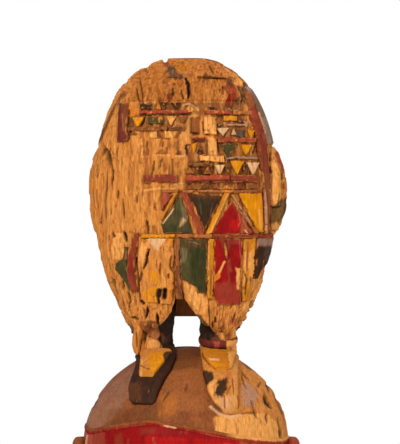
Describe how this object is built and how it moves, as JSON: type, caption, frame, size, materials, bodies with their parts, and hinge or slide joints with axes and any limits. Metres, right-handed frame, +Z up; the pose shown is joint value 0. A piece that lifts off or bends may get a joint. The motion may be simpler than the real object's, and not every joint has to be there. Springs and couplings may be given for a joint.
{
  "type": "carved ancestor masquerade headdress",
  "caption": "Carved wooden figure in a painted patchwork costume, standing on a hollow helmet head with a flat rim.",
  "frame": {"origin": "centre of the rim's underside, in the plane the object rests on", "axes": "+Z up along the head's axis, -Y the way the figure and the face look, +X to the figure's left hand (the viewer's right)"},
  "size_m": [0.2294, 0.2225, 0.5234],
  "materials": {
    "bare_wood": "eroded, dry, matt heartwood with deep grain fissures and insect scars",
    "black_paint": "worn matt blackish-brown paint on wood",
    "brown_paint": "worn matt brown paint on wood",
    "dome_brown": "rubbed brown stain on carved wood, slightly greasy",
    "green_paint": "worn matt dark green paint on wood",
    "grey_paint": "weathered grey-brown wood with pale streaks",
    "red_paint": "worn red paint on wood, semi-matt",
    "dull_red_paint": "rubbed brownish-red paint on wood",
    "yellow_paint": "worn matt ochre-yellow paint on wood",
    "pale_paint": "pale worn ground with brown stains"
  },
  "bodies": {
    "root": {"rim_collar": "dull_red_paint", "face_shell": "red_paint", "hair_cap": "dome_brown", "hairline_ridge": "pale_paint", "ear_left": "brown_paint", "ear_right": "dull_red_paint", "brows": "black_paint", "eyes": "pale_paint", "nose": "red_paint", "lips": "dull_red_paint", "forehead_marks": "pale_paint", "shoe_left": "black_paint", "shoe_right": "black_paint", "cuff_left": "yellow_paint", "cuff_right": "yellow_paint", "leg_left": "black_paint", "leg_right": "black_paint", "anklet_right": "dull_red_paint", "costume_core": "bare_wood", "hood_crown": "bare_wood", "skirt_lobe_left": "bare_wood", "skirt_lobe_right": "bare_wood", "back_apron": "brown_paint", "sleeve_left": "bare_wood", "sleeve_right": "bare_wood", "side_panel_right": "grey_paint", "back_panel": "brown_paint", "hood_panel": "bare_wood", "border_left": "dull_red_paint", "border_right": "dull_red_paint", "tooth_row_1": "black_paint", "tooth_row_2": "pale_paint", "tooth_row_3": "pale_paint", "tooth_row_4": "black_paint", "tooth_row_5": "yellow_paint", "tooth_row_6": "brown_paint", "lath_1": "red_paint", "lath_2": "black_paint", "lath_3": "dull_red_paint", "lath_5": "red_paint", "lath_6": "brown_paint", "triangle_pink": "red_paint", "triangle_green": "green_paint", "triangle_black": "black_paint", "triangle_red": "red_paint", "triangle_yellow": "yellow_paint", "slant_lath_yellow": "yellow_paint", "slant_lath_red": "red_paint", "slant_lath_gold": "yellow_paint", "slant_lath_brown": "brown_paint", "waist_lath": "brown_paint", "field_green_left": "green_paint", "strip_red_left": "red_paint", "field_yellow_left": "yellow_paint", "strip_brown_centre": "brown_paint", "field_green_centre": "green_paint", "strip_yellow_centre": "yellow_paint", "field_red_centre": "red_paint", "strip_yellow_right": "yellow_paint", "field_black_right": "black_paint"}
  },
  "joints": []
}
